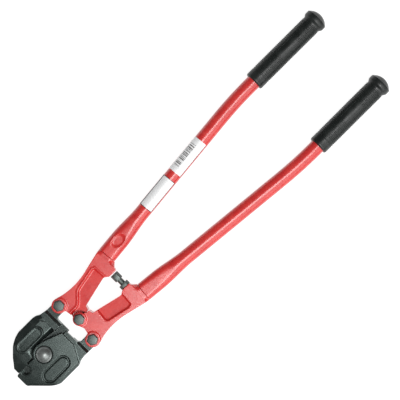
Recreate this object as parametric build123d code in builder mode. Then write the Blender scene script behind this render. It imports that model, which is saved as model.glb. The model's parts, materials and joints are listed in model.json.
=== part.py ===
"""Bolt cutters, 600 mm class, with a shear head for wire rope.

The tool lies on its back. X runs across it, Y from the head to the handles and Z up.
The origin is on the main pivot's axis, in the plane of the nuts' lower faces.
Each piece is drawn about the tool's mid-plane, on the right-hand side, and lifted to its
place when it is saved. The left-hand pieces are turned over about the tool's long axis.
Lengths are in millimetres.
"""
import os
from math import atan2, cos, sin, sqrt

from build123d import *

os.makedirs("parts", exist_ok=True)

# ---- driving dimensions -------------------------------------------------------------
mid_height = 17.0  # from the nuts' lower faces to the mid-plane
layer_gap = 0.1  # between plates that slide on each other

blade_eye = (30.0, 57.0)  # axis of the bolt through a blade's tang and its lever
lever_eye = (0.0, 63.0)  # axis of the bolt through both levers

head_half = 11.0  # half thicknesses
neck_half = 7.5
tang_half = 4.8
slot_half = 5.0
lever_half = 11.5
seam_half = 7.5

pivot_radius = 7.0
blade_bolt_radius = 4.5
lever_bolt_radius = 4.2
running_fit = 0.05
lever_bolt_play = 1.4  # of the left lever's eye about the lever bolt

eye_radius = 9.8
slot_radius = 11.5
lap_eye_radius = 8.5
lap_recess_radius = 11.7
lever_gap = 0.35  # from the centre line to a lever's edge beside the lever bolt
plate_boss_radius = 14.3  # round part of a plate about the main pivot
step_radius = 15.0  # the step that the other plate turns inside

edge_x = 5.3  # a plate's edge lies this far past the centre line
edge_gap = 0.3
notch_radius = 5.5
notch_centre = (-1.5, -30.5)
seat_centre = (-9.6, -30.5)
pivot_recess_radius = 11.2
pivot_recess_depth = 2.0
badge_depth = 1.0

stop_y = 133.1
stop_face = 12.1  # stop boss, from the centre line
pad_face = 11.3
stop_screw_radius = 3.75
stop_screw_end = 26.0
stop_hole_end = 31.0

seam_point = (33.0, 144.0)  # where the lever's shoulder meets the tube
bend_point = (54.9, 370.0)
grip_x = 57.5
tube_radius = 9.75
tube_wall = 2.0
tongue_length = 30.0
swage_stations = ((0, 25.0, 15.0), (38, 23.8, 16.4), (66, 19.5, 19.5))
swage_corner = 0.05  # keeps a flat between two corner arcs

grip_start = 431.0
grip_end = 551.0
grip_radius = 13.0
grip_mouth_radius = 12.4
grip_flare = (13.6, 535.0)  # radius and place where the grip widens to its flange
flange_radius = 15.0
flange_start = 538.0
flange_end = 544.0
end_wall = 5.0

bolt_head_height = 4.5
washer_thickness = 1.0
blade_bolt_flats = 12.8
nut_flats = 14.0
washer_radius = 8.6
pivot_dome_radius = 10.2
pivot_nut_flats = 21.0
pivot_washer_thickness = 1.5
pivot_washer_radius = 12.0

label_thickness = 0.25
lower_label = (221.0, 268.5)
upper_label = (279.0, 330.5)
label_inner_edge = 8.6  # across the tube from its middle, on the side of the other handle
label_rear_edge = 2.0  # above the tube's middle

# ---- derived ------------------------------------------------------------------------
lean = atan2(bend_point[0] - seam_point[0], bend_point[1] - seam_point[1])
bend_radius = (grip_x - bend_point[0]) / (1 - cos(lean))
bend_end = (grip_x, bend_point[1] + bend_radius * sin(lean))
layer_base = layer_gap / 2
step_edge = edge_x + edge_gap


def along_tube(distance):
    """Plane across the right tube's straight run; its own Y points down."""
    origin = (seam_point[0] + sin(lean) * distance, seam_point[1] + cos(lean) * distance, 0)
    return Plane(origin=origin, x_dir=(cos(lean), -sin(lean), 0), z_dir=(sin(lean), cos(lean), 0))


def polygon(*points):
    """A face with straight sides."""
    with BuildSketch() as face:
        with BuildLine():
            Polyline(*points, close=True)
        make_face()
    return face.sketch


def layer(face, low, high, mode=Mode.ADD):
    """Raise a face between two heights of the part that is being built."""
    extrude(Pos(0, 0, low) * face, amount=high - low, mode=mode)


def disc(radius, centre=(0, 0)):
    """A round face."""
    with BuildSketch() as face:
        with Locations(centre):
            Circle(radius)
    return face.sketch


def dome(edge, top):
    """Arc from an edge up to the axis, square to the axis at the top."""
    radius, height = edge
    rise = top - height
    ball = (radius**2 + rise**2) / (2 * rise)
    middle = (radius / 2, top - ball + sqrt(ball**2 - radius**2 / 4))
    ThreePointArc(edge, middle, (0, top))


def save(part, name, turned=False):
    """Lift a finished piece to its place, turned over for the left side, and write it."""
    if turned:
        part = Rot(0, 180, 0) * part
    part = Pos(0, 0, mid_height) * part
    part.label = name
    export_step(part, f"parts/{name}.step")


# ---- blades -------------------------------------------------------------------------
step_corner = (step_edge, -sqrt(step_radius**2 - step_edge**2))
plate_corner = (-edge_x, -sqrt(plate_boss_radius**2 - edge_x**2))
plate_shoulder = (-sqrt(plate_boss_radius**2 - 3.4**2), 3.4)


def right_rim():
    """Outer edge of the right blade, from its neck to its foot."""
    Polyline((37.4, 43), (37, 35), (38, 28), (39.5, 23.2), (41, 21), (41, -10))
    ThreePointArc((41, -10), (37.9, -16.6), (33, -23))
    Line((33, -23), (15.4, -40.6))
    ThreePointArc((15.4, -40.6), (13.7, -42.5), (11.5, -43.4))


def left_rim():
    """Outer edge of the left blade, turned over."""
    Polyline((37.4, 43), (38.5, 36), (39.5, 30), (42, 26), (43, 22), (43, -3))
    ThreePointArc((43, -3), (39.9, -12.7), (34.6, -21))
    Polyline((34.6, -21), (24.6, -31.2), (19, -35.6), (13.8, -40), (11.5, -40))


def plate_face(rim, foot):
    """The plate that crosses the centre line and carries the cutting edge."""
    with BuildSketch() as face:
        with BuildLine():
            rim()
            Polyline((11.5, foot), (-edge_x + 1.3, foot), (-edge_x, foot + 2), plate_corner)
            ThreePointArc(plate_corner, (-12.9, -6.1), plate_shoulder)
            Polyline(plate_shoulder, (-11.5, 13.5), (-3, 34.5), (18, 34.5), (30, 28))
            Line((30, 28), (37.4, 43))
        make_face()
    return face.sketch


def step_face(rim, foot):
    """The stretch beyond the other plate, as thick as the whole head."""
    with BuildSketch() as face:
        with BuildLine():
            rim()
            Polyline((11.5, foot), (step_edge, foot), step_corner)
            ThreePointArc(step_corner, (13.2, -7.1), (step_radius, 0))
            Polyline((step_radius, 0), (15, 11), (11.8, 30.5), (30, 30.5), (37.4, 43))
        make_face()
    return face.sketch


def blade(rim, foot, ledge, notch):
    """A blade seen from its plate's side: rim, foot and ledge heights, and its notch."""
    ledge_face = polygon((-1, 27), (-1, ledge), (18, ledge), (21, 43), (37.4, 43), (37, 27))
    neck_face = polygon((11.6, 30), (11.6, ledge), (18, ledge), (21, 43), (37.4, 43), (37, 30))
    top_trim = polygon((18, 34.5), (45, 19.53), (45, 50), (18, 50))
    with BuildPart() as body:
        layer(plate_face(rim, foot), layer_base, head_half)
        layer(top_trim, neck_half, head_half, Mode.SUBTRACT)
        layer(ledge_face, layer_base, neck_half)
        layer(step_face(rim, foot), -head_half, layer_base)
        layer(top_trim, -head_half, -neck_half, Mode.SUBTRACT)
        layer(neck_face, -neck_half, layer_base)
        with BuildSketch() as tang:
            with BuildLine():
                Polyline((37.5, 57), (37.5, 40), (18, 36), (18, ledge))
                ThreePointArc((18, ledge), (20.2, ledge + 1.6), (21, ledge + 5))
                Polyline((21, ledge + 5), (21, 57), (37.5, 57))
            make_face()
            with Locations(blade_eye):
                Circle(eye_radius)
        layer(tang.sketch, -tang_half, tang_half)
        layer(disc(blade_bolt_radius + running_fit, blade_eye), -head_half, head_half, Mode.SUBTRACT)
        layer(disc(notch_radius, notch), -head_half, head_half, Mode.SUBTRACT)
    return body.part


with BuildPart() as right_blade:
    add(blade(right_rim, -43.4, 40, notch_centre))
    layer(disc(pivot_radius), -head_half, head_half, Mode.SUBTRACT)
    layer(disc(pivot_recess_radius), head_half - pivot_recess_depth, head_half, Mode.SUBTRACT)
    with BuildSketch(Plane.XY.offset(head_half)) as badge:
        with Locations((24.1, -2.3)):
            SlotOverall(41.5, 17.8, rotation=90)
    extrude(amount=-badge_depth, mode=Mode.SUBTRACT)

with BuildPart() as left_blade:
    add(blade(left_rim, -40, 42, seat_centre))
    layer(disc(pivot_radius + running_fit), -head_half, head_half, Mode.SUBTRACT)
    slit_inner, slit_outer = step_edge - 0.2, step_edge + 2
    slit = polygon((slit_inner, -23), (slit_outer, -23), (slit_outer, -11), (slit_inner, -11))
    layer(slit, -head_half, -layer_base, Mode.SUBTRACT)

save(right_blade.part, "right_blade")
save(left_blade.part, "left_blade", turned=True)


# ---- levers -------------------------------------------------------------------------
def lever_face(stop):
    """Outline of a lever without its lap eye. The stop's face is this far from the centre."""
    outer_end = along_tube(0).from_local_coords((swage_stations[0][1] / 2, 0, 0))
    inner_end = along_tube(0).from_local_coords((-swage_stations[0][1] / 2, 0, 0))
    with BuildSketch() as face:
        with BuildLine():
            ThreePointArc((39.7, 58.5), (35, 84), (38.3, 112.5))
            Polyline((38.3, 112.5), outer_end, inner_end, (15.5, 140), (stop, 138.7), (stop, 127.4))
            Polyline((stop, 127.4), (15.6, 121.5), (15, 117.3))
            ThreePointArc((15, 117.3), (9.7, 95), (6.3, 80.5))
            Polyline((6.3, 80.5), (lever_gap, 79), (lever_gap, 63), (5, 56.4), (12.5, 59.3), (20.4, 57.8))
            Line((20.4, 57.8), (39.7, 58.5))
        make_face()
        with Locations(blade_eye):
            Circle(eye_radius)
    return face.sketch


def lever(stop, lap_bore):
    """A lever with its lap eye on top, its fork and its tongue."""
    lap_side = ((19, 66), (19, 58.1), (12.5, 59.3), (5, 56.4))
    lap_arm = polygon((lever_gap, 63), (lever_gap, 79), (13, 79), *lap_side)
    lap_cover = polygon((-1.2, 63), (-1.2, 74.2), (lever_gap, 74.4), (lever_gap, 63))
    fork_slot = polygon((14, 40), (46, 40), (46, 57), (14, 57))
    with BuildPart() as body:
        layer(lever_face(stop), -lever_half, lever_half)
        layer(disc(lap_recess_radius, lever_eye), -lever_half, lever_half, Mode.SUBTRACT)
        layer(lap_arm, layer_base, lever_half)
        layer(lap_cover, layer_base, lever_half)
        layer(disc(lap_eye_radius, lever_eye), layer_base, lever_half)
        layer(fork_slot, -slot_half, slot_half, Mode.SUBTRACT)
        layer(disc(slot_radius, blade_eye), -slot_half, slot_half, Mode.SUBTRACT)
        with BuildSketch(Plane.YZ) as side:
            with BuildLine():
                Polyline((40, 0), (40, lever_half), (90, lever_half), (144, seam_half), (150, 7), (150, 0))
                Line((150, 0), (40, 0))
            make_face()
            mirror(about=Plane.XZ)
        extrude(amount=60, both=True, mode=Mode.INTERSECT)
        layer(disc(blade_bolt_radius, blade_eye), -lever_half, lever_half, Mode.SUBTRACT)
        layer(disc(lap_bore, lever_eye), -lever_half, lever_half, Mode.SUBTRACT)
        with BuildSketch(along_tube(0)) as tongue:
            RectangleRounded(18, 10.4, 4)
        extrude(amount=tongue_length)
    return body.part


with BuildPart() as right_lever:
    add(lever(stop_face, lever_bolt_radius))
    with BuildSketch(Plane.YZ) as stop_hole:
        with Locations((stop_y, 0)):
            Circle(stop_screw_radius + running_fit)
    extrude(amount=stop_hole_end, mode=Mode.SUBTRACT)

with BuildPart() as left_lever:
    add(lever(pad_face, lever_bolt_radius + lever_bolt_play))

save(right_lever.part, "right_lever")
save(left_lever.part, "left_lever", turned=True)


# ---- handles ------------------------------------------------------------------------
with BuildPart() as handle_tube:
    for inset, mode in ((0, Mode.ADD), (tube_wall, Mode.SUBTRACT)):
        for distance, width, height in swage_stations:
            with BuildSketch(along_tube(distance)):
                corner = height / 2 - inset - swage_corner
                RectangleRounded(width - 2 * inset, height - 2 * inset, corner)
        loft(ruled=True, mode=mode)
    with BuildLine() as route:
        start = along_tube(swage_stations[-1][0]).origin
        run = Line((start.X, start.Y), bend_point)
        bend = TangentArc(run @ 1, bend_end, tangent=run % 1)
        Line(bend @ 1, (grip_x, grip_end - end_wall))
    with BuildSketch(along_tube(swage_stations[-1][0])):
        Circle(tube_radius)
        Circle(tube_radius - tube_wall, mode=Mode.SUBTRACT)
    sweep()

with BuildPart() as handle_grip:
    with BuildSketch() as section:
        with BuildLine():
            Polyline((tube_radius, grip_start), (grip_mouth_radius, grip_start), (grip_radius, 433))
            Polyline((grip_radius, 433), (grip_radius, 531), grip_flare, (flange_radius, flange_start))
            Line((flange_radius, flange_start), (flange_radius, flange_end))
            dome((flange_radius, flange_end), grip_end)
            Polyline((0, grip_end), (0, grip_end - end_wall), (tube_radius, grip_end - end_wall))
            Line((tube_radius, grip_end - end_wall), (tube_radius, grip_start))
        make_face()
    revolve(axis=Axis.Y)

for side, turned in (("right", False), ("left", True)):
    save(handle_tube.part, f"{side}_tube", turned)
    save(Pos(grip_x, 0, 0) * handle_grip.part, f"{side}_grip", turned)


# ---- bolts, washers and nuts --------------------------------------------------------
def hexagon(flats):
    """A hexagon by its width across flats."""
    with BuildSketch() as face:
        RegularPolygon(flats / 2, 6, major_radius=False)
    return face.sketch


def bolt(radius, flats, head_base):
    """A hexagon bolt whose shank ends level with its nut."""
    with BuildPart() as body:
        layer(disc(radius), -mid_height, head_base)
        layer(hexagon(flats), head_base, head_base + bolt_head_height)
        chamfer(body.faces().sort_by(Axis.Z)[-1].edges(), 0.7)
    return body.part


def ring(outer, hole, low, high):
    """A washer or a nut: a face with a round hole, between two heights."""
    with BuildPart() as body:
        layer(outer, low, high)
        layer(disc(hole), low, high, Mode.SUBTRACT)
    return body.part


def save_fastening(name, centre, radius, seat):
    """Bolt, washer and nut on one axis; the seat is the height of the washer's top."""
    washer_low = -lever_half - washer_thickness
    pieces = (
        ("bolt", bolt(radius, blade_bolt_flats, lever_half)),
        ("washer", ring(disc(washer_radius), radius, washer_low, seat)),
        ("nut", ring(hexagon(nut_flats), radius, -mid_height, washer_low)),
    )
    for kind, part in pieces:
        save(Pos(*centre) * part, f"{name}_{kind}")


left_blade_eye = (-blade_eye[0], blade_eye[1])
save_fastening("right_blade", blade_eye, blade_bolt_radius, -lever_half)
save_fastening("left_blade", left_blade_eye, blade_bolt_radius, -lever_half)
save_fastening("lever", lever_eye, lever_bolt_radius, -lever_half - layer_gap)

dome_base = head_half - pivot_recess_depth
dome_edge = head_half + 1.4

with BuildPart() as pivot_bolt:
    with BuildSketch(Plane.XZ) as section:
        with BuildLine():
            Polyline((0, -mid_height), (pivot_radius, -mid_height), (pivot_radius, dome_base))
            Line((pivot_radius, dome_base), (pivot_dome_radius, dome_base))
            Line((pivot_dome_radius, dome_base), (pivot_dome_radius, dome_edge))
            dome((pivot_dome_radius, dome_edge), mid_height)
            Line((0, mid_height), (0, -mid_height))
        make_face()
    revolve(axis=Axis.Z)

pivot_washer_low = -head_half - layer_gap - pivot_washer_thickness
pivot_washer = ring(disc(pivot_washer_radius), pivot_radius, pivot_washer_low, -head_half - layer_gap)
save(pivot_bolt.part, "pivot_bolt")
save(pivot_washer, "pivot_washer")
save(ring(hexagon(pivot_nut_flats), pivot_radius, -mid_height, pivot_washer_low), "pivot_nut")

# ---- stop ---------------------------------------------------------------------------
with BuildPart() as stop_screw:
    with BuildSketch(Plane.YZ.offset(-10)):
        with Locations((stop_y, 0)):
            RegularPolygon(5, 6, major_radius=False)
    extrude(amount=10)
    with BuildSketch(Plane.YZ):
        with Locations((stop_y, 0)):
            Circle(stop_screw_radius)
    extrude(amount=stop_screw_end)

with BuildPart() as stop_locknut:
    with BuildSketch(Plane.YZ.offset(stop_face)):
        with Locations((stop_y, 0)):
            RegularPolygon(6, 6, major_radius=False)
            Circle(stop_screw_radius + running_fit, mode=Mode.SUBTRACT)
    extrude(amount=-5.4)

save(stop_screw.part, "stop_screw")
save(stop_locknut.part, "stop_locknut")

# ---- labels on the left tube --------------------------------------------------------
for name, (low, high) in (("lower_label", lower_label), ("upper_label", upper_label)):
    with BuildPart() as label:
        with BuildSketch(along_tube((low - seam_point[1]) / cos(lean))):
            Circle(tube_radius + label_thickness)
            Circle(tube_radius, mode=Mode.SUBTRACT)
            with Locations((-label_inner_edge, label_rear_edge)):
                Rectangle(30, 20, align=Align.MIN, mode=Mode.INTERSECT)
        extrude(amount=(high - low) / cos(lean))
    save(label.part, name, turned=True)
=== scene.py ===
import json
import math

import bpy
import numpy as np
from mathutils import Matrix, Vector

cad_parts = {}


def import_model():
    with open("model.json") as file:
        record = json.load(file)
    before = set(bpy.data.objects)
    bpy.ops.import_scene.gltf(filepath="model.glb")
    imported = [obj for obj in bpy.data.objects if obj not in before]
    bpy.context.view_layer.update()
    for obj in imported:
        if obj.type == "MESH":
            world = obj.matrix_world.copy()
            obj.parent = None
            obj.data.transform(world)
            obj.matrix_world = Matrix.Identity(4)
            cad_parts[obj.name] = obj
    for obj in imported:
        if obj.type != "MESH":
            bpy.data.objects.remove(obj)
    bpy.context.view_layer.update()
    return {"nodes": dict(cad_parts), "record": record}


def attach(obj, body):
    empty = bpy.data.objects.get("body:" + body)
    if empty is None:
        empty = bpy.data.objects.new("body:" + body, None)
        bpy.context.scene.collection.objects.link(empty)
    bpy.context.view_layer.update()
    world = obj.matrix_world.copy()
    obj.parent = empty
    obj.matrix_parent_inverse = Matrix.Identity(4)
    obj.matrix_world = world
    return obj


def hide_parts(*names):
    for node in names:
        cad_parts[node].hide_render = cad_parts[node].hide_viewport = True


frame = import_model()

# ---- places and sizes, in millimetres, as in the model ------------------------------
MM = 0.001
MID = 17.0  # height of the tool's mid-plane
SEAM = (33.0, 144.0)  # where a lever's shoulder meets its tube
BEND = (54.9, 370.0)  # where the tube starts to turn parallel to the tool
GRIP_X = 57.5  # distance of a grip's axis from the tool's
KNURL_START, KNURL_END = 446.5, 531.0
KNURL_ROWS, KNURL_COLUMNS = 36, 38
PAD_START, PAD_END, PAD_HALF_WIDTH = 477, 505, 5.6  # the plain pad on a grip
PRESS_FLOOR = 0.3  # pressing never reaches below this height
LEAN = math.atan2(BEND[0] - SEAM[0], BEND[1] - SEAM[1])
# the left tube's middle line, once the tube is turned square to the tool
LABEL_X = SEAM[1] * math.sin(LEAN) - SEAM[0] * math.cos(LEAN)
TUBE_RADIUS = 9.75
SWAGE_END = 215  # where the tube is round again
CRIMP = (35.6, 167.5)  # centre of the dent that holds a tube on its lever
NOTCH = (-1.5, -30.5)  # centre of the rope's notch
BEND_END = BEND[1] + (GRIP_X - BEND[0]) / (1 - math.cos(LEAN)) * math.sin(LEAN)


def smooth_step(low, high, value):
    """0 below low, 1 above high, and a soft ramp between them."""
    t = np.clip((value - low) / (high - low), 0, 1)
    return t * t * (3 - 2 * t)


# ---- mesh tools ---------------------------------------------------------------------
def pick(obj):
    """Make an object the only selected one, and the active one."""
    bpy.ops.object.select_all(action="DESELECT")
    obj.select_set(True)
    bpy.context.view_layer.objects.active = obj


def edit(obj):
    """Go into edit mode on one object with all of it selected."""
    pick(obj)
    bpy.ops.object.mode_set(mode="EDIT")
    bpy.ops.mesh.select_mode(type="VERT")
    bpy.ops.mesh.select_all(action="SELECT")


def edit_faces(obj):
    """Go into edit mode on one object and keep the faces that are selected."""
    pick(obj)
    bpy.ops.object.mode_set(mode="EDIT")
    bpy.ops.mesh.select_mode(type="FACE")


def leave():
    """Go back to object mode."""
    bpy.ops.object.mode_set(mode="OBJECT")


def apply(obj, kind, **settings):
    """Add a modifier and apply it."""
    pick(obj)
    modifier = obj.modifiers.new(kind.lower(), kind)
    for key, value in settings.items():
        setattr(modifier, key, value)
    bpy.ops.object.modifier_apply(modifier=modifier.name)


def read_points(obj):
    """A mesh's points in millimetres, with heights about the mid-plane."""
    flat = np.empty(len(obj.data.vertices) * 3)
    obj.data.vertices.foreach_get("co", flat)
    points = flat.reshape(-1, 3) / MM
    points[:, 2] -= MID
    return points


def write_points(obj, points):
    """Put back the points that read_points gave."""
    out = points.copy()
    out[:, 2] += MID
    obj.data.vertices.foreach_set("co", (out * MM).ravel())
    obj.data.update()


def settle(obj):
    """Apply the object's place, so that it sits at the origin, unturned."""
    pick(obj)
    bpy.ops.object.transform_apply(location=True, rotation=True, scale=True)


def stand_for(obj, node):
    """Hide a CAD node and let this piece ride with its body in its stead."""
    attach(obj, node_body(node))
    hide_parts(node)


def node_body(node):
    """The body that holds a CAD node."""
    groups = frame["record"]["behaviour"]["bodies"]
    return next(body for body, members in groups.items() if node in members)


def merged_copy(node):
    """A closed, clean copy of a CAD node's mesh."""
    source = frame["nodes"][node]
    obj = bpy.data.objects.new(f"{node}_skin", source.data.copy())
    bpy.context.scene.collection.objects.link(obj)
    obj.data.materials.clear()
    edit(obj)
    bpy.ops.mesh.customdata_custom_splitnormals_clear()
    bpy.ops.mesh.remove_doubles(threshold=1e-6)
    leave()
    return obj


def forging(node, voxel, passes):
    """A CAD node's copy in fine, even quads with softened edges, as forged."""
    obj = merged_copy(node)
    apply(obj, "REMESH", mode="VOXEL", voxel_size=voxel * MM)
    apply(obj, "SMOOTH", factor=0.5, iterations=passes)
    return obj


def press(obj, surface):
    """Lower the upper face to a surface given as height over x and y."""
    points = read_points(obj)
    x, y, h = points.T
    limit = surface(x, y)
    upper = h > PRESS_FLOOR
    points[upper, 2] = np.minimum(h, np.maximum(limit, PRESS_FLOOR))[upper]
    write_points(obj, points)


def soften(obj, passes):
    """Even out what pressing left, and shade it smoothly."""
    apply(obj, "SMOOTH", factor=0.5, iterations=passes)
    pick(obj)
    bpy.ops.object.shade_smooth()


def shade(obj, degrees):
    """Shade smoothly, but keep edges that are sharper than an angle."""
    pick(obj)
    bpy.ops.object.shade_smooth_by_angle(angle=math.radians(degrees))


def machined(node, width):
    """A CAD node's copy with small bevelled edges."""
    obj = merged_copy(node)
    edit(obj)
    bpy.ops.mesh.dissolve_limited(angle_limit=math.radians(1))
    leave()
    sharp = math.radians(40)
    apply(obj, "BEVEL", width=width * MM, segments=2, limit_method="ANGLE", angle_limit=sharp)
    shade(obj, 35)
    return obj


def turned(name, stations, segments, tilt=math.pi / 2):
    """A body of rings: each station is ((x, y, height), radius) in millimetres."""
    spots = [Vector(spot) * MM + Vector((0, 0, MID * MM)) for spot, radius in stations]
    radii = [radius for spot, radius in stations]
    bpy.ops.object.select_all(action="DESELECT")
    bpy.ops.mesh.primitive_circle_add(
        vertices=segments, radius=radii[0] * MM, location=spots[0], rotation=(tilt, 0, 0), fill_type="NGON"
    )
    obj = bpy.context.object
    obj.name = name
    settle(obj)
    edit(obj)
    for i in range(1, len(spots)):
        bpy.ops.mesh.extrude_region_move(TRANSFORM_OT_translate={"value": spots[i] - spots[i - 1]})
        ratio = radii[i] / radii[i - 1]
        bpy.ops.transform.resize(value=(ratio, ratio, ratio), center_override=spots[i])
    bpy.ops.mesh.select_all(action="SELECT")
    bpy.ops.mesh.normals_make_consistent(inside=False)
    leave()
    return obj


# ---- shader tools -------------------------------------------------------------------
class Graph:
    """A node tree that is filled by short calls."""

    def __init__(self, tree):
        self.tree = tree

    def add(self, kind, inputs=None, **settings):
        """Add a node. Inputs are values or sockets, by name or number."""
        made = self.tree.nodes.new(kind)
        for key, value in settings.items():
            setattr(made, key, value)
        for key, value in (inputs or {}).items():
            if isinstance(value, bpy.types.NodeSocket):
                self.tree.links.new(value, made.inputs[key])
            else:
                made.inputs[key].default_value = value
        return made

    def maths(self, operation, a, b=0.0, clamp=False):
        """One sum on values or sockets."""
        made = self.add("ShaderNodeMath", {0: a, 1: b}, operation=operation, use_clamp=clamp)
        return made.outputs[0]

    def noise(self, place, scale, detail=3.0, roughness=0.5, stretch=None):
        """Noise over Object coordinates, its grain given per metre."""
        if stretch:
            place = self.add("ShaderNodeMapping", {"Vector": place, "Scale": stretch}).outputs[0]
        inputs = {"Vector": place, "Scale": scale, "Detail": detail, "Roughness": roughness}
        made = self.add("ShaderNodeTexNoise", inputs)
        return made.outputs["Fac"]

    def spread(self, value, low, high, to_low=0.0, to_high=1.0):
        """Map a stretch of a value to another."""
        limits = {"Value": value, "From Min": low, "From Max": high, "To Min": to_low, "To Max": to_high}
        return self.add("ShaderNodeMapRange", limits, interpolation_type="SMOOTHSTEP").outputs[0]

    def blend(self, amount, first, second):
        """Mix two colours."""
        made = self.add("ShaderNodeMix", {0: amount, 6: first, 7: second}, data_type="RGBA")
        return made.outputs[2]

    def place(self):
        """Object coordinates."""
        return self.add("ShaderNodeTexCoord").outputs["Object"]


def group(name, inputs, outputs):
    """An empty shader group with named sockets, and its graph, entry and exit."""
    tree = bpy.data.node_groups.new(name, "ShaderNodeTree")
    for label, kind, value in inputs:
        socket = tree.interface.new_socket(label, in_out="INPUT", socket_type=kind)
        socket.default_value = value
    for label, kind in outputs:
        tree.interface.new_socket(label, in_out="OUTPUT", socket_type=kind)
    graph = Graph(tree)
    return tree, graph, graph.add("NodeGroupInput"), graph.add("NodeGroupOutput")


def edge_wear_group():
    """Mask of worn edges: where a rounded normal leaves the true one, broken by noise."""
    tree, g, entry, leaving = group(
        "edge_wear",
        [
            ("Radius", "NodeSocketFloat", 0.0008),
            ("Amount", "NodeSocketFloat", 1.0),
            ("Grain", "NodeSocketFloat", 300.0),
        ],
        [("Mask", "NodeSocketFloat")],
    )
    rounded = g.add("ShaderNodeBevel", {"Radius": entry.outputs["Radius"]}, samples=6).outputs[0]
    true = g.add("ShaderNodeNewGeometry").outputs["Normal"]
    facing = g.add("ShaderNodeVectorMath", {0: rounded, 1: true}, operation="DOT_PRODUCT").outputs["Value"]
    edge = g.spread(g.maths("SUBTRACT", 1.0, facing), 0.01, 0.16)
    patches = g.spread(g.noise(g.place(), entry.outputs["Grain"], 4.0, 0.65), 0.38, 0.62)
    worn = g.maths("MULTIPLY", edge, patches)
    g.tree.links.new(g.maths("MULTIPLY", worn, entry.outputs["Amount"], clamp=True), leaving.inputs["Mask"])
    return tree


def forge_skin_group():
    """Uneven height and tone of a forged and blasted surface."""
    tree, g, entry, leaving = group(
        "forge_skin",
        [("Grain", "NodeSocketFloat", 900.0), ("Pits", "NodeSocketFloat", 0.4)],
        [("Height", "NodeSocketFloat"), ("Tone", "NodeSocketFloat")],
    )
    place = g.place()
    fine = g.noise(place, entry.outputs["Grain"], 5.0, 0.6)
    broad = g.noise(place, 70.0, 3.0, 0.5)
    cells = g.add("ShaderNodeTexVoronoi", {"Vector": place, "Scale": 520.0}).outputs["Distance"]
    pits = g.maths("MULTIPLY", g.spread(cells, 0.0, 0.28, 1.0, 0.0), entry.outputs["Pits"])
    height = g.maths("SUBTRACT", g.maths("ADD", fine, g.maths("MULTIPLY", broad, 1.6)), pits)
    tone = g.maths("ADD", g.maths("MULTIPLY", fine, 0.4), g.maths("MULTIPLY", broad, 0.6))
    g.tree.links.new(height, leaving.inputs["Height"])
    g.tree.links.new(g.spread(tone, 0.34, 0.66), leaving.inputs["Tone"])
    return tree


def handling_group():
    """Scuffs and dust left by use: a mask of thin scratches and one of settled dust."""
    tree, g, entry, leaving = group(
        "handling",
        [("Scratches", "NodeSocketFloat", 0.5), ("Dust", "NodeSocketFloat", 0.3)],
        [("Scratch", "NodeSocketFloat"), ("Dust", "NodeSocketFloat")],
    )
    place = g.place()
    masks = []
    for turn, stretch in ((0.5, (1.0, 0.03, 1.0)), (-0.7, (0.04, 1.0, 1.0))):
        turned_place = g.add("ShaderNodeMapping", {"Vector": place, "Rotation": (0, 0, turn)}).outputs[0]
        line = g.noise(turned_place, 1500.0, 2.0, 0.5, stretch)
        masks.append(g.spread(line, 0.66, 0.72))
    gate = g.spread(g.noise(place, 45.0, 2.0), 0.5, 0.65)
    lines = g.maths("MULTIPLY", g.maths("MAXIMUM", masks[0], masks[1]), gate)
    settled = g.spread(g.noise(place, 160.0, 6.0, 0.7), 0.45, 0.75)
    scratch = g.maths("MULTIPLY", lines, entry.outputs["Scratches"], clamp=True)
    dust = g.maths("MULTIPLY", settled, entry.outputs["Dust"], clamp=True)
    g.tree.links.new(scratch, leaving.inputs["Scratch"])
    g.tree.links.new(dust, leaving.inputs["Dust"])
    return tree


EDGE_WEAR = edge_wear_group()
FORGE_SKIN = forge_skin_group()
HANDLING = handling_group()


def material(name):
    """A fresh material with its graph and its Principled shader."""
    made = bpy.data.materials.new(name)
    made.use_nodes = True
    g = Graph(made.node_tree)
    shader = next(n for n in made.node_tree.nodes if n.type == "BSDF_PRINCIPLED")
    return made, g, shader


def use(g, tree, **values):
    """Place one of the shared groups with its own values."""
    made = g.add("ShaderNodeGroup", node_tree=tree)
    for key, value in values.items():
        made.inputs[key].default_value = value
    return made.outputs


def bump(g, shader, height, depth, strength=1.0):
    """Raise the surface by a height map; depth is in millimetres."""
    made = g.add("ShaderNodeBump", {"Height": height, "Distance": depth * MM, "Strength": strength})
    g.tree.links.new(made.outputs[0], shader.inputs["Normal"])


def black_forging():
    """Blackened forged steel, satin, rubbed bright along its edges, with painted shade on faces near the
    mid-plane where the blades lap.
    """
    made, g, shader = material("black_forging")
    skin = use(g, FORGE_SKIN, Grain=700.0, Pits=0.3)
    wear = use(g, EDGE_WEAR, Radius=0.0007, Amount=0.75, Grain=260.0)["Mask"]
    marks = use(g, HANDLING, Scratches=0.35, Dust=0.18)
    tone = g.blend(skin["Tone"], (0.009, 0.013, 0.012, 1), (0.024, 0.032, 0.030, 1))
    # Painted shade: faces within a few millimetres of the mid-plane, where the blades lap under each other,
    # are darkened.
    height = g.add("ShaderNodeSeparateXYZ", {"Vector": g.place()}).outputs["Z"]
    depth = g.maths("ABSOLUTE", g.maths("SUBTRACT", height, MID * MM))
    painted_lap_shade = g.blend(g.spread(depth, 0.0005, 0.004), (0.008, 0.009, 0.009, 1), tone)
    dusty = g.blend(marks["Dust"], painted_lap_shade, (0.13, 0.14, 0.135, 1))
    bare = g.blend(g.maths("MAXIMUM", wear, marks["Scratch"]), dusty, (0.36, 0.38, 0.37, 1))
    g.tree.links.new(bare, shader.inputs["Base Color"])
    g.tree.links.new(g.maths("MAXIMUM", wear, 0.35), shader.inputs["Metallic"])
    g.tree.links.new(g.spread(skin["Tone"], 0.0, 1.0, 0.30, 0.21), shader.inputs["Roughness"])
    shader.inputs["Specular IOR Level"].default_value = 0.85
    shader.inputs["Specular Tint"].default_value = (0.84, 1.0, 0.95, 1)
    bump(g, shader, skin["Height"], 0.022, 0.6)
    return made


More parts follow.
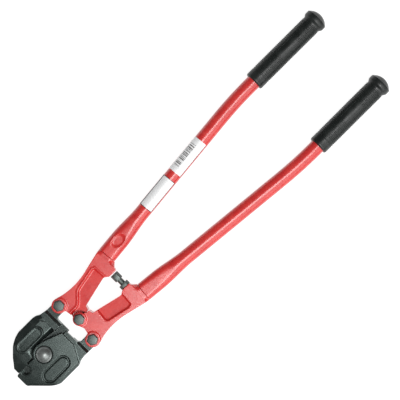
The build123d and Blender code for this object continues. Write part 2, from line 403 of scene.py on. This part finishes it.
def red_paint(name, grain, depth, wear_amount):
    """Red enamel: orange peel over steel, chipped to primer and metal along edges."""
    made, g, shader = material(name)
    skin = use(g, FORGE_SKIN, Grain=grain, Pits=0.1)
    wear = use(g, EDGE_WEAR, Radius=0.0006, Amount=wear_amount, Grain=420.0)["Mask"]
    marks = use(g, HANDLING, Scratches=0.25, Dust=0.12)
    tone = g.blend(skin["Tone"], (0.59, 0.018, 0.018, 1), (0.69, 0.034, 0.029, 1))
    dusty = g.blend(g.maths("MAXIMUM", marks["Dust"], marks["Scratch"]), tone, (0.80, 0.24, 0.19, 1))
    chipped = g.blend(wear, dusty, (0.30, 0.10, 0.10, 1))
    g.tree.links.new(chipped, shader.inputs["Base Color"])
    g.tree.links.new(g.spread(marks["Dust"], 0.0, 0.4, 0.30, 0.5), shader.inputs["Roughness"])
    shader.inputs["Coat Weight"].default_value = 0.5
    shader.inputs["Coat Roughness"].default_value = 0.18
    bump(g, shader, skin["Height"], depth, 0.6)
    return made


def plated_steel(name, dark, light, wear_amount):
    """Dull zinc-plated steel, its tone between two colours, rubbed bright at the edges."""
    made, g, shader = material(name)
    skin = use(g, FORGE_SKIN, Grain=1400.0, Pits=0.2)
    wear = use(g, EDGE_WEAR, Radius=0.0005, Amount=wear_amount, Grain=500.0)["Mask"]
    marks = use(g, HANDLING, Scratches=0.6, Dust=0.15)
    tone = g.blend(skin["Tone"], dark, light)
    bare = g.blend(g.maths("MAXIMUM", wear, marks["Scratch"]), tone, (0.42, 0.43, 0.42, 1))
    g.tree.links.new(bare, shader.inputs["Base Color"])
    shader.inputs["Metallic"].default_value = 0.85
    g.tree.links.new(g.spread(skin["Tone"], 0.0, 1.0, 0.34, 0.52), shader.inputs["Roughness"])
    bump(g, shader, skin["Height"], 0.05, 0.6)
    return made


def grip_rubber():
    """Black moulded rubber, greyed by dust on its raised blocks."""
    made, g, shader = material("grip_rubber")
    skin = use(g, FORGE_SKIN, Grain=2200.0, Pits=0.0)
    wear = use(g, EDGE_WEAR, Radius=0.0004, Amount=0.5, Grain=300.0)["Mask"]
    marks = use(g, HANDLING, Scratches=0.1, Dust=0.15)
    tone = g.blend(skin["Tone"], (0.003, 0.005, 0.0045, 1), (0.008, 0.011, 0.010, 1))
    dusty = g.blend(g.maths("MAXIMUM", marks["Dust"], wear), tone, (0.045, 0.056, 0.050, 1))
    g.tree.links.new(dusty, shader.inputs["Base Color"])
    g.tree.links.new(g.spread(skin["Tone"], 0.0, 1.0, 0.30, 0.44), shader.inputs["Roughness"])
    bump(g, shader, skin["Height"], 0.03, 0.7)
    return made


def band(g, value, low, high):
    """1 where a value in metres lies between two bounds in millimetres."""
    above = g.maths("GREATER_THAN", value, low * MM)
    return g.maths("MULTIPLY", above, g.maths("LESS_THAN", value, high * MM))


def sticker(name, inside_edge_shade_run=None, bars_run=None):
    """White vinyl on the left tube: a dark outline painted as the shadow along its edges, or bars that stand
    for a stock code with a painted shadow along its right edge.
    """
    made, g, shader = material(name)
    skin = use(g, FORGE_SKIN, Grain=1800.0, Pits=0.0)
    marks = use(g, HANDLING, Scratches=0.2, Dust=0.15)
    paper = g.blend(skin["Tone"], (0.90, 0.91, 0.92, 1), (0.95, 0.95, 0.95, 1))
    smudged = g.blend(marks["Dust"], paper, (0.74, 0.74, 0.72, 1))
    turned_place = g.add("ShaderNodeMapping", {"Vector": g.place(), "Rotation": (0, 0, -LEAN)}).outputs[0]
    split = g.add("ShaderNodeSeparateXYZ", {"Vector": turned_place}).outputs
    across, along = split["X"], split["Y"]
    if bars_run:
        inputs = {"W": along, "Scale": 620.0, "Detail": 0.0}
        thin = g.add("ShaderNodeTexNoise", inputs, noise_dimensions="1D").outputs["Fac"]
        stripe = g.maths("MULTIPLY", g.maths("GREATER_THAN", thin, 0.52), 0.9)
        rows = g.maths("MULTIPLY", stripe, band(g, along, *bars_run))
        printed = g.maths("MULTIPLY", rows, band(g, across, LABEL_X - 8.5, LABEL_X - 1))
        # Painted shadow: a dark strip along the label's right edge.
        edge = g.maths("GREATER_THAN", across, (LABEL_X + 8.1) * MM)
        print_and_edge_shade = g.blend(g.maths("MAXIMUM", printed, edge), smudged, (0.07, 0.06, 0.06, 1))
    else:
        # Painted shadow: outside this band and run the label is dark, an outline standing in for the shadow
        # along its edges.
        side_to_side = band(g, across, LABEL_X - 8.4, LABEL_X + 8.0)
        within = g.maths("MULTIPLY", side_to_side, band(g, along, *inside_edge_shade_run))
        print_and_edge_shade = g.blend(within, (0.07, 0.05, 0.05, 1), smudged)
    g.tree.links.new(print_and_edge_shade, shader.inputs["Base Color"])
    g.tree.links.new(g.spread(marks["Dust"], 0.0, 0.3, 0.32, 0.5), shader.inputs["Roughness"])
    bump(g, shader, skin["Height"], 0.02, 0.5)
    return made


BLACK = black_forging()
RED_FORGING = red_paint("red_forging", 500.0, 0.06, 0.5)
RED_TUBE = red_paint("red_tube", 350.0, 0.02, 0.3)
STEEL = plated_steel("plated_steel", (0.062, 0.074, 0.070, 1), (0.13, 0.15, 0.14, 1), 0.9)
# A lighter copy of the plated steel: painted sheen on the pivot bolt's dome, standing in for a reflection of
# the lights.
STEEL_PAINTED_SHEEN = plated_steel("steel_painted_sheen", (0.20, 0.215, 0.21, 1), (0.33, 0.35, 0.34, 1), 0.15)
RUBBER = grip_rubber()


def paint(obj, finish):
    """Give a piece one finish."""
    obj.data.materials.clear()
    obj.data.materials.append(finish)


# ---- head ---------------------------------------------------------------------------
LEFT_RIDGE, RIGHT_PLATE = 10.3, 11.0  # heights of the blades' ground faces
PILL_RADIUS, PILL_FACE, PILL_BEAD = 8.4, 9.7, 1.1  # the left blade's raised pill
BADGE_MOAT = 2.2  # depth of the groove round the right blade's badge
TANG_FACE, TANG_DROP = 7.5, 2.9  # a tang's height by the head, and its fall to the lever


def pill_distance(x, y, centre, half_run):
    """Distance from the middle line of an upright pill shape."""
    return np.hypot(x - centre[0], np.maximum(np.abs(y - centre[1]) - half_run, 0))


def crown(y):
    """How far a ground face falls away towards the nose and the tangs."""
    return 0.0008 * (y + 5) ** 2


def left_blade_top(x, y):
    """Upper face of the left blade: a ridge with a raised pill, falling to both sides."""
    face = LEFT_RIDGE - 0.42 * np.maximum(-34 - x, 0) - 0.10 * np.maximum(y - 14, 0)
    beside_plate = smooth_step(-14, 2, y)
    face = face - beside_plate * 1.5 * np.maximum(x + 17.8, 0)
    face = face - 0.125 * np.maximum(-26 - y, 0) - crown(y)
    rim = pill_distance(x, y, centre=(-25.5, 0), half_run=12.5)
    bead = smooth_step(PILL_RADIUS, 7.6, rim) * smooth_step(5.6, 6.4, rim)
    face = np.where(rim < PILL_RADIUS, np.maximum(face, PILL_FACE), face) + PILL_BEAD * bead
    ramp = TANG_FACE - TANG_DROP * smooth_step(37.0, 42.0, y)
    neck = (y > 30.3) & (x < -10)
    return np.where(neck, np.minimum(ramp, 7.3), face)


def right_blade_top(x, y):
    """Upper face of the right blade: a flat plate with eased outer edges."""
    outer = 0.55 * np.maximum(x - 37.5, 0)
    lower = 0.35 * np.maximum((x - y) * 0.7071 - 37.0, 0)
    notch = np.hypot(x - NOTCH[0], y - NOTCH[1])
    badge = pill_distance(x, y, centre=(24.1, -2.3), half_run=11.85)
    moat = smooth_step(9.3, 8.5, badge) * smooth_step(5.9, 6.9, badge)
    chamfer = 0.9 * smooth_step(6.8, 5.4, notch)
    face = RIGHT_PLATE - outer - lower - crown(y) - chamfer - BADGE_MOAT * moat
    ramp = TANG_FACE - TANG_DROP * smooth_step(38.5, 42.5, y)
    return np.where((y > 36) & (x > 19), ramp, face)


for node, surface in (("left_blade", left_blade_top), ("right_blade", right_blade_top)):
    piece = forging(node, 0.5, 2)
    press(piece, surface)
    soften(piece, 2)
    paint(piece, BLACK)
    stand_for(piece, node)


# ---- levers -------------------------------------------------------------------------
BLADE_EYE = (30.0, 57.0)
LEVER_EYE = (0.0, 63.0)
SQUARE_PANEL = ((2, 87), (24.5, 84.8), (27.6, 87.6), (34, 117.5), (32.4, 122.9), (2, 125))
BEADED_PANEL = (
    (14, 50), (14, 72.5), (18, 77.8), (27, 86), (28.8, 91), (34.2, 118.5), (32.6, 122.6), (-8, 125), (-8, 50)
)


def inside_distance(x, y, outline):
    """Distance to an outline, positive inside it."""
    nearest = np.full(x.shape, 1e9)
    inside = np.zeros(x.shape, bool)
    for (ax, ay), (bx, by) in zip(outline, outline[1:] + outline[:1]):
        dx, dy = bx - ax, by - ay
        t = np.clip(((x - ax) * dx + (y - ay) * dy) / (dx * dx + dy * dy), 0, 1)
        nearest = np.minimum(nearest, np.hypot(x - ax - t * dx, y - ay - t * dy))
        if dy:
            inside ^= ((ay > y) != (by > y)) & (x < dx * (y - ay) / dy + ax)
    return np.where(inside, nearest, -nearest)


def web_height(x, y):
    """A lever's face: thinner towards the tube, with round bosses at its eyes."""
    face = 11.5 - 4.0 * np.clip((y - 90) / 54, 0, None)
    blade_boss = smooth_step(9.3, 10.6, np.hypot(x - BLADE_EYE[0], y - BLADE_EYE[1]))
    lap_boss = smooth_step(8.3, 9.6, np.hypot(x - LEVER_EYE[0], y - LEVER_EYE[1]))
    return face - 1.1 * blade_boss * lap_boss * (1 - smooth_step(104, 140, y))


def square_panel_side(x, y):
    """The side with a plain sunk panel."""
    sunk = smooth_step(0.0, 1.9, inside_distance(x, y, SQUARE_PANEL))
    return web_height(x, y) - (3.3 + 0.06 * (28 - x)) * sunk


def beaded_panel_side(x, y):
    """The side with a sunk panel inside a raised bead."""
    deep = inside_distance(x, y, BEADED_PANEL)
    bead = np.exp(-((deep / 1.1) ** 2))
    return web_height(x, y) + 0.8 * bead - (1.7 + 0.04 * (x - 14)) * smooth_step(0.6, 2.6, deep)


def ease_shoulder(points, side):
    """Round a lever's end to the flattened tube's section."""
    x, y, h = points.T
    along = (side * x - SEAM[0]) * math.sin(LEAN) + (y - SEAM[1]) * math.cos(LEAN)
    off = np.abs((side * x - SEAM[0]) * math.cos(LEAN) - (y - SEAM[1]) * math.sin(LEAN))
    inside = np.clip(7.4**2 - np.maximum(off - 5.1, 0) ** 2, 1.0, None) ** 0.5
    weight = smooth_step(-6, -0.8, along) * (along < 0.4)
    limited = np.clip(h, -inside, inside)
    points[:, 2] = h + (limited - h) * weight


LEVER_SIDES = {
    "left_lever": (-1, beaded_panel_side, square_panel_side),
    "right_lever": (1, square_panel_side, beaded_panel_side),
}
for node, (side, top, base) in LEVER_SIDES.items():
    piece = forging(node, 0.55, 4)
    points = read_points(piece)
    x, y, h = points.T
    outward = np.clip(h, -base(side * x, y), top(side * x, y))
    points[:, 2] = np.where(np.abs(h) > 5.6, outward, h)
    ease_shoulder(points, side)
    write_points(piece, points)
    soften(piece, 2)
    paint(piece, RED_FORGING)
    stand_for(piece, node)


# ---- tubes and grips ----------------------------------------------------------------
def tube_centre(y):
    """Distance of the tube's middle from the tool's axis at this Y."""
    if y < BEND[1]:
        return SEAM[0] + (y - SEAM[1]) * math.tan(LEAN)
    if y < BEND_END:
        return GRIP_X - (BEND_END - y) ** 2 / (2 * (BEND_END - BEND[1])) * math.tan(LEAN)
    return GRIP_X


def soft_minimum(first, second, blend):
    """The lesser of two values, with a round corner where they cross."""
    return -blend * np.logaddexp(-first / blend, -second / blend)


def swage(points, side):
    """Widen and flatten the tube's end, square it to its axis and dent the crimp."""
    x, y, h = points.T
    middle = side * (SEAM[0] + (y - SEAM[1]) * math.tan(LEAN))
    widen = 1 + 0.28 * (1 - smooth_step(168, SWAGE_END - 1, y))
    off = (x - middle) * np.where(y < BEND[1], widen, 1)
    flat = 7.5 + (y - SEAM[1]) * 0.036 + 2 * smooth_step(185, SWAGE_END, y)
    crimp = np.hypot((x - side * CRIMP[0]) / 5.4, (y - CRIMP[1]) / 9.5)
    dent = 1.3 * smooth_step(1.15, 0.7, crimp) * (side * h < 0)
    squash = np.where(y < SWAGE_END, soft_minimum(np.abs(h), flat - dent, 0.35), np.abs(h))
    points[:, 2] = np.sign(h) * squash
    points[:, 0] = np.where(y < BEND[1], middle + off, x)
    points[:, 1] = y - side * off * math.tan(LEAN) * (1 - smooth_step(144, 200, y))


def handle_tube(side):
    """One tube, from the lever's shoulder into the grip."""
    swaged = [144.5 + 1.0 * i for i in range(75)]
    plain = [220 + 10 * i for i in range(22)]
    stations = [((side * tube_centre(y), y, 0), TUBE_RADIUS) for y in swaged + plain + [438]]
    obj = turned("tube", stations, 96)
    points = read_points(obj)
    swage(points, side)
    write_points(obj, points)
    shade(obj, 30)
    return obj


def grip_profile():
    """Stations of a grip: smooth collar, knurled length, neck, flange and dome."""
    collar = [(431.0, 10.0), (431.1, 11.9), (432.0, 12.6), (433.6, 13.0), (434.2, 12.9), (442.8, 12.9)]
    collar += [(443.2, 12.5), (443.8, 12.5), (444.2, 12.95), (445.3, 12.95), (445.7, 12.4)]
    pitch = (KNURL_END - KNURL_START) / KNURL_ROWS
    rows = [(KNURL_START + pitch * i, 12.45) for i in range(KNURL_ROWS + 1)]
    neck = [(531.6, 12.9), (532.4, 13.0), (533.0, 12.5), (534.6, 12.6)]
    neck += [(536.2, 13.5), (537.6, 14.5), (538.6, 14.9)]
    dome = [(539.6, 15.0), (543.4, 15.0), (544.2, 14.8), (544.6, 14.3)]
    dome += [(546.2, 12.6), (548.0, 10.4), (549.5, 7.6), (550.6, 4.2), (550.9, 1.0)]
    return collar + rows + neck + dome


def handle_grip(side):
    """One rubber grip with rows of raised blocks and a plain pad on its upper side."""
    stations = [((side * GRIP_X, y, 0), radius) for y, radius in grip_profile()]
    obj = turned("grip", stations, KNURL_COLUMNS)
    edit(obj)
    bpy.ops.mesh.select_mode(type="FACE")
    bpy.ops.mesh.select_all(action="DESELECT")
    leave()
    for face in obj.data.polygons:
        x, y, h = face.center[0] / MM - side * GRIP_X, face.center[1] / MM, face.center[2] / MM - MID
        sidewall = abs(face.normal[1]) < 0.1 and KNURL_START < y < KNURL_END
        on_pad = abs(x) < PAD_HALF_WIDTH and PAD_START < y < PAD_END and h > 0
        face.select = sidewall and not on_pad
    edit_faces(obj)
    groove, slope, rise = 0.00034, 0.00020, 0.00052  # metres
    bpy.ops.mesh.inset(thickness=groove, depth=0.0, use_individual=True)
    bpy.ops.mesh.inset(thickness=slope, depth=rise, use_individual=True)
    leave()
    shade(obj, 28)
    return obj


for side, hand in ((-1, "left"), (1, "right")):
    for build, kind, finish in ((handle_tube, "tube", RED_TUBE), (handle_grip, "grip", RUBBER)):
        piece = build(side)
        piece.name = f"{hand}_{kind}_skin"
        paint(piece, finish)
        stand_for(piece, f"{hand}_{kind}")


# ---- bolts, nuts, stop and labels ---------------------------------------------------
PIVOT_PROFILE = (
    (-17.0, 6.3), (-16.4, 6.95), (9.0, 7.0), (9.1, 10.15), (11.5, 10.2), (12.1, 9.7), (12.6, 8.7),
    (12.4, 8.3), (12.8, 7.9), (13.8, 7.1), (15.0, 5.7), (16.0, 4.0), (16.6, 2.3), (16.95, 0.8)
)
pivot = turned("pivot_bolt_skin", [((0, 0, h), radius) for h, radius in PIVOT_PROFILE], 48, 0.0)
shade(pivot, 28)
# The dome takes the steel with painted sheen.
paint(pivot, STEEL_PAINTED_SHEEN)
stand_for(pivot, "pivot_bolt")

HARDWARE = {"bolt": 0.9, "washer": 0.2, "nut": 0.5}
for node in sorted(set(frame["nodes"]) - {"pivot_bolt"}):
    kind = node.rsplit("_", 1)[-1]
    if node in ("stop_screw", "stop_locknut"):
        kind = "bolt"
    if kind in HARDWARE:
        piece = machined(node, HARDWARE[kind])
        paint(piece, STEEL)
        stand_for(piece, node)

# The lower sticker's dark outline is painted shadow along its edges.
paint(frame["nodes"]["lower_label"], sticker("lower_sticker", inside_edge_shade_run=(224.7, 270.9)))
paint(frame["nodes"]["upper_label"], sticker("upper_sticker", bars_run=(290, 325)))


# ---- floor, light and camera --------------------------------------------------------
def floor():
    """A wide pale floor under the tool."""
    bpy.ops.object.select_all(action="DESELECT")
    bpy.ops.mesh.primitive_plane_add(size=8.0, location=(0, 0.28, -0.0005))
    obj = bpy.context.object
    obj.name = "floor"
    made, _, shader = material("floor_paint")
    shader.inputs["Base Color"].default_value = (0.25, 0.25, 0.25, 1)
    shader.inputs["Roughness"].default_value = 0.9
    shader.inputs["Emission Color"].default_value = (1, 1, 1, 1)
    shader.inputs["Emission Strength"].default_value = 0.93
    paint(obj, made)


def area_light(name, place, aim, width, length, power):
    """An oblong soft light that points at a spot; its length runs along Y."""
    bpy.ops.object.light_add(type="AREA", location=place)
    lamp = bpy.context.object
    lamp.name = name
    lamp.data.shape = "RECTANGLE"
    lamp.data.size = width
    lamp.data.size_y = length
    lamp.data.energy = power
    lamp.rotation_euler = (Vector(aim) - Vector(place)).to_track_quat("-Z", "Y").to_euler()


def world():
    """Even pale surroundings."""
    made = bpy.data.worlds.new("studio")
    made.use_nodes = True
    back = made.node_tree.nodes["Background"]
    back.inputs["Color"].default_value = (1, 1, 1, 1)
    back.inputs["Strength"].default_value = 0.18
    bpy.context.scene.world = made


def camera():
    """Straight down, with the tool's length on the frame's diagonal."""
    middle = Vector((0.00077, 0.277, MID * MM))
    distance = 1.5
    span = 0.508  # metres across the frame
    bpy.ops.object.camera_add(location=middle + Vector((0, 0, distance)))
    cam = bpy.context.object
    cam.data.sensor_width = 36.0
    cam.data.lens = 36.0 * distance / span
    cam.rotation_euler = (0, 0, math.radians(45.12))
    bpy.context.scene.camera = cam


floor()
world()
camera()
bpy.context.scene.view_settings.view_transform = "Standard"
area_light("key", (1.5, 0.1, 1.1), (0.0, 0.28, 0.0), 1.8, 1.8, 21)
area_light("top", (0.46, 0.21, 1.8), (0.46, 0.21, 0.0), 0.74, 1.0, 22.5)
